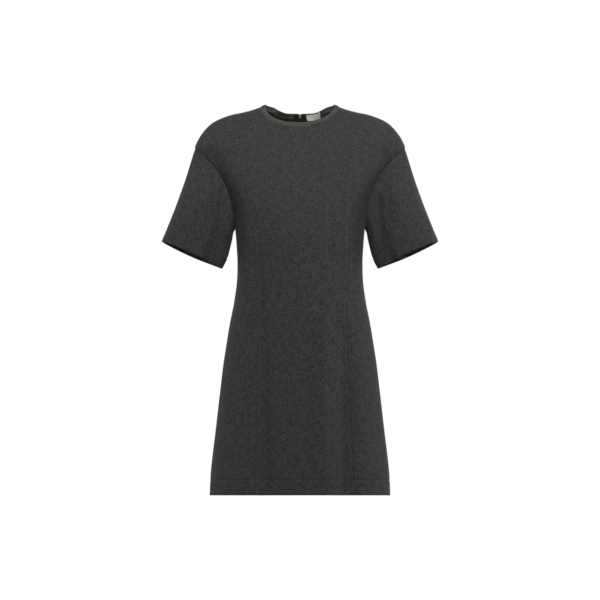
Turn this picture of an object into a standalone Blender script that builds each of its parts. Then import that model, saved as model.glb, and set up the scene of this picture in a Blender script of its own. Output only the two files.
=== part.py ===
"""A short-sleeved t-shirt dress, hollow, in the form it has when it is worn.

Metres, +Z up. The front faces -Y and +X is the wearer's left. The origin is midway between
the two high shoulder points, so a "drop" is a distance below them. The tables and the sizes
in the sections below are millimetres until a point is placed with place().
"""

import math
from collections import namedtuple

import bmesh
import bpy
from mathutils import Vector

MM = 0.001

# Cloth and seams
CLOTH = 1.6                 # thickness of the knit
HEM_CLOTH = 3.2             # thickness where the edge is turned up
SEAM = 0.3                  # gap between two sewn pieces
CORNER = 0.15               # extra gap at the two ends of a shoulder seam
LAYER = 0.5                 # gap between a panel and what lies on it
STRIP = 3.0                 # width of the flat strip along shoulder and side seams
LENGTH = 900.0              # high shoulder point to hem
HEM = 34.0                  # depth of the turned-up hem
HEM_STEP = 4.0              # length over which the cloth goes from one layer to two
CUFF_HEM = 0.12             # the same two for the cuff, as parts of the sleeve
CUFF_STEP = 0.015

# Armhole, seen from the front
TIP = (242.0, 105.0)        # x and drop of the shoulder seam's outer end
UNDERARM = (149.0, 291.0)   # x and drop of the side seam's top end

# Neck seam and neck opening
NECK_HALF = 91.5
NECK_SIDE_DROP = 7.5
NECK_DROP = {"front": 65.5, "back": 19.5}
OPEN_HALF = 79.5
OPEN_DROP = {"front": 54.0, "back": 11.0}
OPEN_DEPTH = {"front": 71.0, "back": 64.0}
SEAM_ARCH = 1.75            # roundness of the front neck seam, more is squarer
OPEN_ARCH = 2.1             # the same for the band's upper edge
ARCH_SKEW = 0.15            # squarer by this on the wearer's right, rounder on the left
BACK_FLAT = (0.35, 0.92)    # parts of the half-width between which the back neck rises
BAND_CLOTH = 2.4
BAND_WIDTH = 12.0

# Centre-back zip
ZIP_GAP = 3.3               # from the centre line to a back panel's edge
ZIP_DOWN = 0.70             # row of the panels at which the centre-back seam has closed
TAPE_INNER = 2.5            # tape's edges, from the centre line
TAPE_OUTER = 14.0
TAPE_CLOTH = 0.8
CHAIN_HALF = 2.1
CHAIN_THICK = 2.0
SLIDER_SIZE = (6.0, 8.5, 1.0)       # width, length, thickness of each of its two plates
SLIDER_DOWN = 4.9           # from the neck opening to the slider's middle
CHAIN_DOWN = 3.9            # from the neck opening to the chain's first tooth
POST_SIZE = (3.6, 1.8)      # width and length of the post that joins the plates
POST_DOWN = 0.3             # from the plates' upper end to the post
METAL_EDGE = 0.25           # width of the metal's rounded edges
BRIDGE_HALF = 0.6           # half-width of the bridge that holds the pull
BRIDGE_INNER = 1.2          # clear space round the pull's bar, along and above
BRIDGE_WALL = 1.0
PULL_SIZE = (5.2, 20.0, 1.0)        # width, length, thickness
PULL_BAR = 0.6              # half-width of the pull's bar, which turns under the bridge
PULL_WINDOW = (2.2, 3.6)    # width of the window below the bar, and how far down it ends
PULL_LEAN = 40.0            # degrees from the vertical at which the pull lies on the chain

# Neck label, inside the back on the wearer's left
LABEL_X = (15.0, 47.0)
LABEL_HEIGHTS = (0.85, -0.35)       # in band widths above the band's seam
LABEL_SLIP = 2.0            # how far the lower edge is shifted outward
LABEL_CLOTH = 0.5

# Panel grid: columns from the centre line to the side, rows from the top edge to the underarm
# as shares of that height, and rows below the underarm as drops
NECK_COLUMNS = 5
SHOULDER_COLUMNS = 6
COLUMNS = NECK_COLUMNS + SHOULDER_COLUMNS
DART_COLUMN = NECK_COLUMNS / COLUMNS
UPPER_DOWNS = (0.0, 0.045, 0.1, 0.2, 0.3, 0.4, 0.5, 0.6, 0.65, ZIP_DOWN, 0.8, 0.9, 1.0)
SKIRT_DROPS = (330, 370, 415, 462, 508, 554, 604, 660, 720, 790,
               LENGTH - HEM - HEM_STEP, LENGTH - HEM, LENGTH)
PANEL_HALF = 240.0          # about how wide half a panel is, for steps measured across it

# Level sections of the body, from the shoulder seam down. Above the underarm the half-width is
# the outline that the armhole and the shoulder seam are cut from
Section = namedtuple("Section", "drop half_width front back square")
BODY = [Section(*row) for row in (
    (NECK_SIDE_DROP, NECK_HALF, 24.0, 36.0, 2.20),
    (15.2, 114.0, 32.0, 63.0, 2.20),
    (21.5, 138.0, 38.0, 72.5, 2.20),
    (26.2, 160.0, 42.5, 77.5, 2.25),
    (33.4, 180.5, 48.5, 82.5, 2.25),
    (42.5, 199.0, 56.0, 87.5, 2.30),
    (55.0, 214.0, 66.0, 92.5, 2.30),
    (71.0, 227.0, 77.5, 97.0, 2.30),
    (87.0, 236.5, 86.0, 100.0, 2.30),
    (TIP[1], TIP[0], 93.5, 103.0, 2.30),
    (128.0, 227.0, 101.5, 106.0, 2.30),
    (158.0, 208.0, 110.0, 109.0, 2.30),
    (188.0, 188.0, 117.0, 111.5, 2.35),
    (226.0, 167.0, 123.0, 113.5, 2.35),
    (262.0, 154.0, 125.0, 113.5, 2.35),
    (UNDERARM[1], UNDERARM[0], 124.5, 112.0, 2.35),
    (330, 145.5, 122.0, 108.0, 2.35),
    (370, 143.5, 118.5, 104.0, 2.30),
    (415, 145.0, 115.5, 101.0, 2.25),
    (462, 151.5, 114.5, 101.0, 2.20),
    (508, 160.5, 115.5, 104.0, 2.15),
    (554, 168.0, 118.0, 108.0, 2.10),
    (604, 175.5, 121.5, 112.5, 2.10),
    (669, 183.0, 126.0, 118.0, 2.10),
    (749, 192.0, 131.0, 124.0, 2.10),
    (841, 202.5, 136.0, 130.0, 2.10),
    (LENGTH, 205.5, 138.0, 132.0, 2.10),
)]

# Long darts of the front, from the bust to the hem: x on the wearer's right and left
Dart = namedtuple("Dart", "drop right left")
DARTS = [Dart(*row) for row in (
    (266, 105.5, 107.5), (349, 98.0, 106.5), (427, 95.5, 104.0), (505, 93.5, 102.5), (578, 93.5, 104.5),
    (690, 94.0, 109.0), (782, 96.0, 114.0), (877, 98.5, 119.5), (900, 99.0, 122.0),
)]
DART_GROOVE = 1.2           # depth of a dart's seam
DART_WIDTH = 5.0            # how far from the seam the cloth starts to dip
DART_TIP = (-12.0, 30.0)    # from above its first drop to below it, the seam deepens

# Largest folds. x is the wearer's right when negative; height is outward, so troughs are negative
Fold = namedtuple("Fold", "face x_top top x_bottom bottom width height")
FOLDS = [Fold(*row) for row in (
    ("front", -76, 420, -77, 960, 20, -5.0),
    ("front", 50, 470, 56, 960, 30, 4.0),
    ("front", 92, 600, 103, 960, 17, -5.0),
    ("front", -20, 560, -28, 960, 34, 3.0),
    ("front", -186, 75, -172, 215, 13, -6.0),
    ("front", 186, 75, 172, 215, 13, -6.0),
    ("front", -113, 240, -134, 470, 13, 3.5),
    ("back", -62, 400, -74, 960, 24, -5.0),
    ("back", 22, 470, 18, 960, 34, 4.0),
    ("back", 84, 430, 98, 960, 22, -5.5),
    ("back", -186, 80, -176, 225, 15, -5.0),
    ("back", 186, 80, 176, 225, 15, -5.0),
)]
FOLD_FADE = 0.3             # part of a fold's length over which it comes and goes

ARMHOLE_BOW = 24.0          # how far the armhole bows towards the body

# Sleeve, from the armhole to the cuff: x and drop of its outer and inner edge, half depths,
# and how much of the armhole's bow is left
Sleeve = namedtuple("Sleeve", "along outer_x outer_drop inner_x inner_drop front back bow")
SLEEVE = [Sleeve(*row) for row in (
    (0.00, TIP[0], TIP[1], UNDERARM[0], UNDERARM[1], 56, 56, 1.0),
    (0.15, 252.0, 139.0, 153.0, 299.0, 62, 61, 0.6),
    (0.35, 267.0, 183.5, 155.5, 313.0, 63, 62, 0.25),
    (0.60, 284.5, 233.0, 161.0, 337.0, 61, 61, 0.05),
    (0.80, 300.5, 275.0, 167.5, 360.0, 59, 59, 0.0),
    (1.00, 318.0, 319.0, 178.5, 382.0, 57, 57, 0.0),
)]
SEAM_BLEND = 0.3            # part of the sleeve over which the armhole's own depth fades
CREASE = 0.45               # part of the armhole below which body and sleeve meet in a deep crease
NEAR_SEAM = 0.07            # parts of the panel and the sleeve that show which way the seam faces
SLEEVE_RINGS = (0.0, 0.03, 0.12, 0.25, 0.40, 0.56, 0.72, 1.0 - CUFF_HEM - CUFF_STEP, 1.0 - CUFF_HEM, 1.0)

KNIT = (0.043, 0.043, 0.040)
RIB = (0.085, 0.082, 0.068)
TAPE_COLOUR = (0.016, 0.016, 0.015)
METAL = (0.60, 0.60, 0.58)
LABEL_COLOUR = (0.85, 0.85, 0.83)


# ---------------------------------------------------------------- reading the tables

def place(x, y, drop):
    """A point in metres from millimetres across, back and down."""
    return Vector((x, y, -drop)) * MM


def smooth(low, high, value):
    """0 below low, 1 above high, and an S-curve between."""
    t = min(max((value - low) / (high - low), 0.0), 1.0)
    return t * t * (3.0 - 2.0 * t)


def read(table, column, key):
    """Value of a column at a key between rows, on a smooth curve through the rows."""
    keys = [row[0] for row in table]
    values = [getattr(row, column) for row in table]
    last = len(table) - 1
    i = min(max(sum(k <= key for k in keys) - 1, 0), last - 1)

    def slope(j):
        a, b = max(j - 1, 0), min(j + 1, last)
        return (values[b] - values[a]) / (keys[b] - keys[a])

    span = keys[i + 1] - keys[i]
    t = min(max((key - keys[i]) / span, 0.0), 1.0)
    rise = values[i + 1] - values[i]
    return (values[i] + rise * t * t * (3.0 - 2.0 * t)
            + span * t * (1.0 - t) * (slope(i) * (1.0 - t) - slope(i + 1) * t))


# ---------------------------------------------------------------- seam curves, seen from the front

def arch(across, square):
    """Height of a rounded arch of half-width 1: 1 at the centre, 0 at the side."""
    return (1.0 - min(across, 1.0) ** square) ** (1.0 / square)


def neck_fall(face, side, across, square):
    """How low the neck is at a share of its half-width: 1 at the centre, 0 at the side."""
    if face == "front":
        return arch(across, square - side * ARCH_SKEW)
    return 1.0 - smooth(*BACK_FLAT, across)


def neck_seam(face, side, turn):
    """x and drop where the neck band is sewn on: turn 0 at the centre, 1 at the shoulder seam."""
    across = math.sin(turn * math.pi / 2)
    fall = neck_fall(face, side, across, SEAM_ARCH)
    return NECK_HALF * across, NECK_SIDE_DROP + (NECK_DROP[face] - NECK_SIDE_DROP) * fall


def shoulder_seam(along):
    """x and drop on the shoulder seam, 0 at the neck and 1 at the tip, by its length."""
    Place = namedtuple("Place", "run x drop")
    rows = [Place(0.0, NECK_HALF, NECK_SIDE_DROP)]
    for row in BODY[1:]:
        if row.drop <= TIP[1]:
            last = rows[-1]
            run = last.run + math.dist((last.x, last.drop), (row.half_width, row.drop))
            rows.append(Place(run, row.half_width, row.drop))
    run = along * rows[-1].run
    drop = read(rows, "drop", run)
    return read(BODY, "half_width", drop), drop


def armhole(low):
    """x and drop on the armhole: low 0 at the shoulder tip, 1 at the underarm."""
    lean = math.atan2(TIP[0] - UNDERARM[0], UNDERARM[1] - TIP[1])
    bow = ARMHOLE_BOW * 4.0 * low * (1.0 - low)
    x = TIP[0] + (UNDERARM[0] - TIP[0]) * low - bow * math.cos(lean)
    return x, TIP[1] + (UNDERARM[1] - TIP[1]) * low - bow * math.sin(lean)


def top_edge(face, side, across):
    """x and drop of a body panel's upper edge: the neck seam, then the shoulder seam."""
    if across <= DART_COLUMN:
        return neck_seam(face, side, across / DART_COLUMN)
    return shoulder_seam((across - DART_COLUMN) / (1.0 - DART_COLUMN))


# ---------------------------------------------------------------- body surface

def fold_height(face, x, drop):
    """Outward height of the folds at a place on the body."""
    height = 0.0
    for fold in FOLDS:
        along = (drop - fold.top) / (fold.bottom - fold.top)
        if fold.face == face and 0.0 < along < 1.0:
            centre = fold.x_top + (fold.x_bottom - fold.x_top) * along
            fade = smooth(0.0, FOLD_FADE, along) * smooth(0.0, FOLD_FADE, 1.0 - along)
            height += fold.height * fade * math.exp(-((x - centre) / fold.width) ** 2)
    return height


def on_body(face, x, drop):
    """The point of the body that is seen from the front at x and drop."""
    square = read(BODY, "square", drop)
    share = min(abs(x) / read(BODY, "half_width", drop), 1.0)
    depth = read(BODY, face, drop) * arch(share, square)
    depth += (1.0 - share ** 8) * fold_height(face, x, drop)
    return Vector((x, -depth if face == "front" else depth, drop))


def dart_x(side, drop):
    return read(DARTS, "left" if side > 0 else "right", max(drop, DARTS[0].drop))


def level_x(side, across, drop):
    """Distance from the centre line on a level section; the dart keeps its share of the columns."""
    half = read(BODY, "half_width", drop)
    square = read(BODY, "square", drop)
    dart_angle = math.asin((dart_x(side, drop) / half) ** (square / 2.0))
    if across <= DART_COLUMN:
        angle = dart_angle * across / DART_COLUMN
    else:
        angle = dart_angle + (math.pi / 2 - dart_angle) * (across - DART_COLUMN) / (1.0 - DART_COLUMN)
    return half * math.sin(angle) ** (2.0 / square)


def body_surface(face, side, across, down):
    """Point on the outside of the body.

    across is 0 at the centre line and 1 at the armhole or side seam. down is 0 at the top
    edge, 1 at the underarm level and 2 at the hem.
    """
    if down >= 1.0:
        drop = UNDERARM[1] + (down - 1.0) * (LENGTH - UNDERARM[1])
        return on_body(face, side * level_x(side, across, drop), drop)
    low = (1.0 - math.cos(math.pi * down)) / 2
    top_x, top_drop = top_edge(face, side, across)
    arm_x, arm_drop = armhole(low)
    edge = across ** 3
    x = top_x + (level_x(side, across, UNDERARM[1]) - top_x) * low
    x += edge * (arm_x - TIP[0] - (UNDERARM[0] - TIP[0]) * low)
    drop = top_drop + (UNDERARM[1] - top_drop) * low
    drop += edge * (arm_drop - TIP[1] - (UNDERARM[1] - TIP[1]) * low)
    return on_body(face, side * x, drop)


# ---------------------------------------------------------------- sleeve surface

def sleeve_surface(face, side, along, turn):
    """Point on the sleeve. along is 0 at the armhole and 1 at the cuff, turn is 0 at its outer
    edge and 1 at its inner edge."""
    low = (1.0 - math.cos(math.pi * turn)) / 2
    row = {name: read(SLEEVE, name, along) for name in Sleeve._fields[1:]}
    lean = math.atan2(row["outer_x"] - row["inner_x"], row["inner_drop"] - row["outer_drop"])
    bow = row["bow"] * ARMHOLE_BOW * 4.0 * low * (1.0 - low)
    x = row["outer_x"] + (row["inner_x"] - row["outer_x"]) * low - bow * math.cos(lean)
    drop = row["outer_drop"] + (row["inner_drop"] - row["outer_drop"]) * low - bow * math.sin(lean)
    y = row[face] * math.sin(math.pi * turn) * (-1.0 if face == "front" else 1.0)
    seam = body_surface(face, 1.0, 1.0, turn)
    y += (seam.y - SLEEVE[0].front * math.sin(math.pi * turn) * (-1.0 if face == "front" else 1.0)) * (
        1.0 - smooth(0.0, SEAM_BLEND, along))
    return Vector((side * x, y, drop))


def across_armhole(face, side, turn):
    """Direction square to the armhole seam, from the body onto the sleeve."""
    seam = body_surface(face, side, 1.0, turn)
    inside = (seam - body_surface(face, side, 1.0 - NEAR_SEAM, turn)).normalized()
    outside = (sleeve_surface(face, side, NEAR_SEAM, turn) - seam).normalized()
    return (inside + outside).normalized()


# ---------------------------------------------------------------- sheets of cloth

def panel_downs():
    """Rows of a body panel, as body_surface() takes them."""
    skirt = [1.0 + (drop - UNDERARM[1]) / (LENGTH - UNDERARM[1]) for drop in SKIRT_DROPS]
    return list(UPPER_DOWNS) + skirt


def trim(rows, left=True, right=True, top=True):
    """Moves a panel's sewn edges in by half the seam gap."""
    if top:
        for c in range(len(rows[0])):
            step = (rows[1][c] - rows[0][c]).normalized()
            rows[0][c] = rows[0][c] + step * SEAM / 2
    for row in rows:
        if left:
            row[0] = row[0] + (row[1] - row[0]).normalized() * SEAM / 2
        if right:
            row[-1] = row[-1] + (row[-2] - row[-1]).normalized() * SEAM / 2


def material(name, colour, roughness, metallic=0.0):
    finish = bpy.data.materials.get(name) or bpy.data.materials.new(name)
    finish.use_nodes = True
    shader = finish.node_tree.nodes["Principled BSDF"]
    shader.inputs["Base Color"].default_value = (*colour, 1.0)
    shader.inputs["Roughness"].default_value = roughness
    shader.inputs["Metallic"].default_value = metallic
    finish.diffuse_color = (*colour, 1.0)
    return finish


def sheet(name, rows, finish, thickness, closed=False, turned=0, flip=False):
    """A sheet of cloth: a grid of outer points, thickened inward.

    The last `turned` rows are turned up and have the hem's thickness.
    """
    mesh = bpy.data.meshes.new(name)
    bm = bmesh.new()
    grid = [[bm.verts.new(Vector((p.x, p.y, -p.z)) * MM) for p in row] for row in rows]
    columns = len(grid[0])
    for upper, lower in zip(grid, grid[1:]):
        for c in range(columns if closed else columns - 1):
            n = (c + 1) % columns
            corners = (upper[c], lower[c], lower[n], upper[n])
            bm.faces.new(corners[::-1] if flip else corners)
    bm.verts.index_update()
    bm.to_mesh(mesh)
    bm.free()
    mesh.shade_smooth()
    mesh.materials.append(finish)
    part = bpy.data.objects.new(name, mesh)
    dress.objects.link(part)
    wall = part.modifiers.new("Cloth", 'SOLIDIFY')
    wall.thickness = (HEM_CLOTH if turned else thickness) * MM
    wall.offset = -1.0
    if turned:
        group = part.vertex_groups.new(name="thickness")
        plain = (len(rows) - turned) * columns
        group.add(list(range(plain)), thickness / HEM_CLOTH, 'REPLACE')
        group.add(list(range(plain, len(rows) * columns)), 1.0, 'REPLACE')
        wall.vertex_group = "thickness"
    return part


# ---------------------------------------------------------------- pieces

def front_columns():
    """Columns of half the front, with one at the dart's line and one on each side of it."""
    plain = [i / COLUMNS for i in range(COLUMNS)]
    beside = DART_WIDTH / PANEL_HALF
    return sorted(plain + [DART_COLUMN - beside, DART_COLUMN + beside])


def add_strip(row, face, side, down):
    """Puts a point a strip's width from the seam, square to it, before the last point."""
    seam = row[-1]
    if down >= 1.0:
        step = Vector((0.0, -1.0 if face == "front" else 1.0, 0.0))
    elif down > CREASE:
        step = (row[-2] - seam).normalized()
    else:
        step = -across_armhole(face, side, down)
    row.insert(-1, seam + step * STRIP)


def square_shoulder(rows, columns, outward):
    """Makes the first strip below a shoulder seam level, so front and back meet squarely.

    The seam's two end points, where the strip isn't level, stand back a little more.
    """
    for c, across in enumerate(columns[:-2]):
        if across > DART_COLUMN:
            rows[1][c] = rows[0][c] + Vector((0.0, outward * STRIP, 0.0))
    for c in (columns.index(DART_COLUMN), -2, -1):
        rows[0][c] = rows[0][c] + Vector((0.0, outward * CORNER, 0.0))


def make_front(finish):
    """One panel, folded into a long dart on each side and turned up at the hem."""
    columns = front_columns() + [1.0]
    dart = columns.index(DART_COLUMN)
    tip = [DARTS[0].drop + step for step in DART_TIP]
    halves = []
    for side in (-1.0, 1.0):
        rows = []
        for down in panel_downs():
            row = [body_surface("front", side, across, down) for across in columns]
            row[dart] += Vector((0.0, DART_GROOVE * smooth(*tip, row[dart].z), 0.0))
            add_strip(row, "front", side, down)
            rows.append(row)
        square_shoulder(rows, front_columns() + [1.0 - STRIP / PANEL_HALF, 1.0], -1.0)
        halves.append(rows)
    rows = [left[::-1] + right[1:] for left, right in zip(*halves)]
    trim(rows)
    return sheet("front", rows, finish, CLOTH, turned=2)


def edge_at(side, x, down):
    """The across value at which the back's surface is x millimetres from the centre line."""
    low, high = 0.0, DART_COLUMN
    for _ in range(30):
        middle = (low + high) / 2
        if abs(body_surface("back", side, middle, down).x) < x:
            low = middle
        else:
            high = middle
    return high


def make_back(name, side, finish):
    """Half the back, from the centre-back zip and the seam below it to the side seam."""
    inner = [i / COLUMNS for i in range(1, COLUMNS)]
    rows = []
    for down in panel_downs():
        edge = edge_at(side, ZIP_GAP if down < ZIP_DOWN else SEAM / 2, down)
        row = [body_surface("back", side, across, down) for across in [edge] + inner + [1.0]]
        row.insert(1, row[0] + Vector((side * STRIP, 0.0, 0.0)))
        add_strip(row, "back", side, down)
        rows.append(row)
    columns = [0.0, STRIP / PANEL_HALF] + inner + [1.0 - STRIP / PANEL_HALF, 1.0]
    square_shoulder(rows, columns, 1.0)
    trim(rows, left=False)
    return sheet(name, rows, finish, CLOTH, turned=2, flip=side > 0)


def make_sleeve(name, side, finish):
    """A tube from the armhole to the turned-up cuff, with the armhole's own points at its top."""
    turns = [down for down in panel_downs() if down <= 1.0]
    rows = []
    places = [("front", turn) for turn in turns] + [("back", turn) for turn in turns[-2:0:-1]]
    for along in SLEEVE_RINGS:
        rows.append([sleeve_surface(face, side, along, turn) for face, turn in places])
    for c, (face, turn) in enumerate(places):
        if turn <= CREASE:
            rows[1][c] = rows[0][c] + across_armhole(face, side, turn) * STRIP
    trim(rows, left=False, right=False)
    return sheet(name, rows, finish, CLOTH, closed=True, turned=2, flip=side > 0)


def band_surface(face, side, turn, height):
    """Point on the outside of the neck band: height 0 at its seam and 1 at the neck opening."""
    across, along = math.sin(turn * math.pi / 2), math.cos(turn * math.pi / 2)
    seam = on_body(face, *neck_seam(face, side, turn))
    depth = OPEN_DEPTH[face] * along * (-1.0 if face == "front" else 1.0)
    drop = OPEN_DROP[face] * neck_fall(face, side, across, OPEN_ARCH)
    point = seam.lerp(Vector((OPEN_HALF * across, depth, drop)), height)
    return Vector((side * point.x, point.y, point.z))


def make_neck_band(finish):
    """A narrow doubled rib round the neck, open at the centre back."""
    front = [("front", across / DART_COLUMN) for across in front_columns() if across <= DART_COLUMN]
    back = [("back", i / NECK_COLUMNS) for i in range(NECK_COLUMNS - 1, -1, -1)]
    rows = []
    for height in (1.0, 0.5, SEAM / BAND_WIDTH):
        right, left = ([band_surface(face, side, turn, height) for face, turn in front + back]
                       for side in (-1.0, 1.0))
        right[-1].x, left[-1].x = -ZIP_GAP, ZIP_GAP
        rows.append(right[:0:-1] + left)
    return sheet("neck_band", rows, finish, BAND_CLOTH)


def centre_back_rows():
    """Rows down the centre back beside the zip, each as its edge point, the panel's next point
    and the depth of the tape below them."""
    rows = []
    for height in (1.0, 0.0):
        edge, beside = (band_surface("back", 1.0, turn, height) for turn in (0.0, 1.0 / NECK_COLUMNS))
        rows.append((edge, beside, BAND_CLOTH + LAYER))
    for down in UPPER_DOWNS[2:UPPER_DOWNS.index(ZIP_DOWN) + 1]:
        edge, beside = (body_surface("back", 1.0, across, down) for across in (0.0, 1.0 / COLUMNS))
        rows.append((edge, beside, CLOTH + LAYER))
    return rows


def outward_at(rows, i):
    """Direction square to the centre-back line at one of its rows, out of the dress."""
    run = (rows[min(i + 1, len(rows) - 1)][0] - rows[max(i - 1, 0)][0]).normalized()
    return Vector((0.0, run.z, -run.y))


def make_zip_tape(name, side, finish):
    """A strip of tape behind a back panel's edge, laid on the panel's own points."""
    rows = []
    source = centre_back_rows()
    for i, (edge, beside, depth) in enumerate(source):
        row = []
        for x in (TAPE_INNER, (TAPE_INNER + TAPE_OUTER) / 2, TAPE_OUTER):
            point = edge.lerp(beside, x / beside.x) - outward_at(source, i) * depth
            row.append(Vector((side * x, point.y, point.z)))
        rows.append(row)
    return sheet(name, rows, finish, TAPE_CLOTH, flip=side > 0)


def make_zip_chain(finish):
    """The closed teeth as one plain bar between the tapes, from inside the slider down."""
    rows = []
    source = centre_back_rows()[:-1]
    for i, (edge, _, depth) in enumerate(source):
        if i == 0:
            edge = edge + (source[1][0] - edge).normalized() * CHAIN_DOWN
        top = edge - outward_at(source, i) * (depth + (TAPE_CLOTH - CHAIN_THICK) / 2)
        rows.append([Vector((x, top.y, top.z)) for x in (CHAIN_HALF, 0.0, -CHAIN_HALF)])
    return sheet("zip_chain", rows, finish, CHAIN_THICK)


def make_label(finish):
    """A blank woven label inside the back neck, on the band's own flat facets."""
    rows = []
    for height in LABEL_HEIGHTS:
        a, b, c = (band_surface("back", 1.0, i / NECK_COLUMNS, height) for i in range(3))
        down = band_surface("back", 1.0, 1.0 / NECK_COLUMNS, height - 1.0) - b
        inward = down.cross(c - a).normalized()
        if inward.y > 0.0:
            inward = -inward
        slip = LABEL_SLIP if height < 0.0 else 0.0
        first, last = (x + slip for x in LABEL_X)
        row = [a.lerp(b, first / b.x), b, b.lerp(c, (last - b.x) / (c.x - b.x))]
        rows.append([point + inward * (BAND_CLOTH + LAYER) for point in row])
    return sheet("label", rows, finish, LABEL_CLOTH, flip=True)


def block(name, size, centre, finish, bevel, collection):
    """A box with rounded edges, in millimetres."""
    mesh = bpy.data.meshes.new(name)
    bm = bmesh.new()
    bmesh.ops.create_cube(bm, size=1.0)
    bmesh.ops.scale(bm, vec=Vector(size) * MM, verts=bm.verts)
    bmesh.ops.translate(bm, vec=Vector(centre) * MM, verts=bm.verts)
    if bevel:
        bmesh.ops.bevel(bm, geom=bm.edges[:], offset=bevel * MM, segments=1, affect='EDGES')
    bm.to_mesh(mesh)
    bm.free()
    mesh.materials.append(finish)
    part = bpy.data.objects.new(name, mesh)
    collection.objects.link(part)
    return part


def combine(part, operation, other):
    """Joins a helper to a part, or cuts it out, and hides the helper."""
    step = part.modifiers.new(other.name, 'BOOLEAN')
    step.operation = operation
    step.object = other
    other.hide_render = True
    other.display_type = 'WIRE'
    other.parent = part


def lay_on_back(part, point, lean):
    """Places a part at a centre-back point with its +Y down the cloth and its +Z outward."""
    part.location = place(*point)
    part.rotation_euler = (math.atan2(-math.cos(lean), math.sin(lean)), 0.0, 0.0)


def slider_place():
    """The slider's middle on the band's outside, the band's lean and its way out."""
    opening, seam = (band_surface("back", 1.0, 0.0, height) for height in (1.0, 0.0))
    run = (seam - opening).normalized()
    return opening + run * SLIDER_DOWN, math.atan2(run.y, run.z), Vector((0.0, run.z, -run.y))


def chain_top():
    """Depth of the chain's outer face below the band's outside."""
    return BAND_CLOTH + LAYER + (TAPE_CLOTH - CHAIN_THICK) / 2


def make_zip_slider(finish):
    """Two plates round the chain, joined by a post at the top, with a bridge for the pull."""
    width, length, plate = SLIDER_SIZE
    post_width, post_length = POST_SIZE
    outer = -(chain_top() - SEAM - plate / 2)
    inner = -(chain_top() + CHAIN_THICK + SEAM + plate / 2)
    face = outer + plate / 2
    top = face + 2 * BRIDGE_INNER + BRIDGE_WALL
    post_y = (post_length - length) / 2 + POST_DOWN
    slider = block("zip_slider", (width, length, plate), (0, 0, outer), finish, METAL_EDGE, dress)
    combine(slider, 'UNION', block(
        "slider inner plate", (width, length, plate), (0, 0, inner), finish, METAL_EDGE, helpers))
    combine(slider, 'UNION', block(
        "slider post", (post_width, post_length, outer - inner), (0, post_y, (outer + inner) / 2),
        finish, 0.0, helpers))
    combine(slider, 'UNION', block(
        "slider bridge", (2 * BRIDGE_HALF, 2 * (BRIDGE_INNER + BRIDGE_WALL), top - outer),
        (0, 0, (top + outer) / 2), finish, METAL_EDGE, helpers))
    combine(slider, 'DIFFERENCE', block(
        "bridge hole", (4 * BRIDGE_HALF, 2 * BRIDGE_INNER, 2 * BRIDGE_INNER),
        (0, 0, face + BRIDGE_INNER), finish, 0.0, helpers))
    middle, lean, _ = slider_place()
    lay_on_back(slider, middle, lean)
    return slider


def make_zip_pull(finish):
    """A flat tab with a window, hung by its bar under the slider's bridge. It turns on the bar."""
    width, length, thick = PULL_SIZE
    window_width, window_end = PULL_WINDOW
    pull = block("zip_pull", (width, length, thick), (0, length / 2 - PULL_BAR, 0), finish, METAL_EDGE, dress)
    combine(pull, 'DIFFERENCE', block(
        "pull window", (window_width, window_end - PULL_BAR, 2 * thick), (0, (window_end + PULL_BAR) / 2, 0),
        finish, 0.0, helpers))
    middle, _, out = slider_place()
    axis = middle + out * (SLIDER_SIZE[2] + SEAM - chain_top() + BRIDGE_INNER)
    lay_on_back(pull, axis, math.radians(PULL_LEAN))
    return pull


# ---------------------------------------------------------------- build

for old in list(bpy.data.objects):
    bpy.data.objects.remove(old, do_unlink=True)
dress = bpy.data.collections.new("t_shirt_dress")
helpers = bpy.data.collections.new("cutters")
bpy.context.scene.collection.children.link(dress)
bpy.context.scene.collection.children.link(helpers)

knit = material("heather knit", KNIT, 0.95)
rib = material("neck rib", RIB, 0.92)
woven_tape = material("zip tape", TAPE_COLOUR, 0.9)
metal = material("zip metal", METAL, 0.35, 1.0)
woven_label = material("label", LABEL_COLOUR, 0.8)

make_front(knit)
make_back("back_left", 1.0, knit)
make_back("back_right", -1.0, knit)
make_sleeve("sleeve_left", 1.0, knit)
make_sleeve("sleeve_right", -1.0, knit)
make_neck_band(rib)
make_zip_tape("zip_tape_left", 1.0, woven_tape)
make_zip_tape("zip_tape_right", -1.0, woven_tape)
make_zip_chain(woven_tape)
make_zip_slider(metal)
make_zip_pull(metal)
make_label(woven_label)
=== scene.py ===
"""A short-sleeved t-shirt dress in dark heather knit, hollow, in the form it has when it is worn.

Sizes are millimetres unless said otherwise. x is across, with the wearer's left positive, y is
depth, with the front negative, and "drop" is the distance below the high shoulder points.
"""

import math

import bmesh
import bpy
import numpy as np
from mathutils import Matrix, Vector


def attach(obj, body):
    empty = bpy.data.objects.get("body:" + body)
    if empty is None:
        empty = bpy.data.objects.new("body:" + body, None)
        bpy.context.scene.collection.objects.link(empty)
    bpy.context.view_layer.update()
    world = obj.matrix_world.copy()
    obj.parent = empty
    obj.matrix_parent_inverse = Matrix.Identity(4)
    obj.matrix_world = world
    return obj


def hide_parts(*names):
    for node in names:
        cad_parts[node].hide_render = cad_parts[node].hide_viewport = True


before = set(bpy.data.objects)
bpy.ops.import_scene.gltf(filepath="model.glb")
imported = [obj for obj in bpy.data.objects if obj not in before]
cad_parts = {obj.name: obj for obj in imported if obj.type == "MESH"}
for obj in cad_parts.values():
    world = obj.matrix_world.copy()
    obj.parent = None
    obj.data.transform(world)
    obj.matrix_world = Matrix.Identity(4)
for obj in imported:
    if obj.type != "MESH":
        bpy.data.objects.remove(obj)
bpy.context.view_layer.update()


# ---------------------------------------- studio
# A white studio: soft light from all round, a wide lamp above the camera, weaker ones on each side
# and behind, which graze the edges of the dress, and a small low one that lights the inside of the
# neck. Metres here.

scene = bpy.context.scene
scene.view_settings.view_transform = 'Standard'

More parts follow.
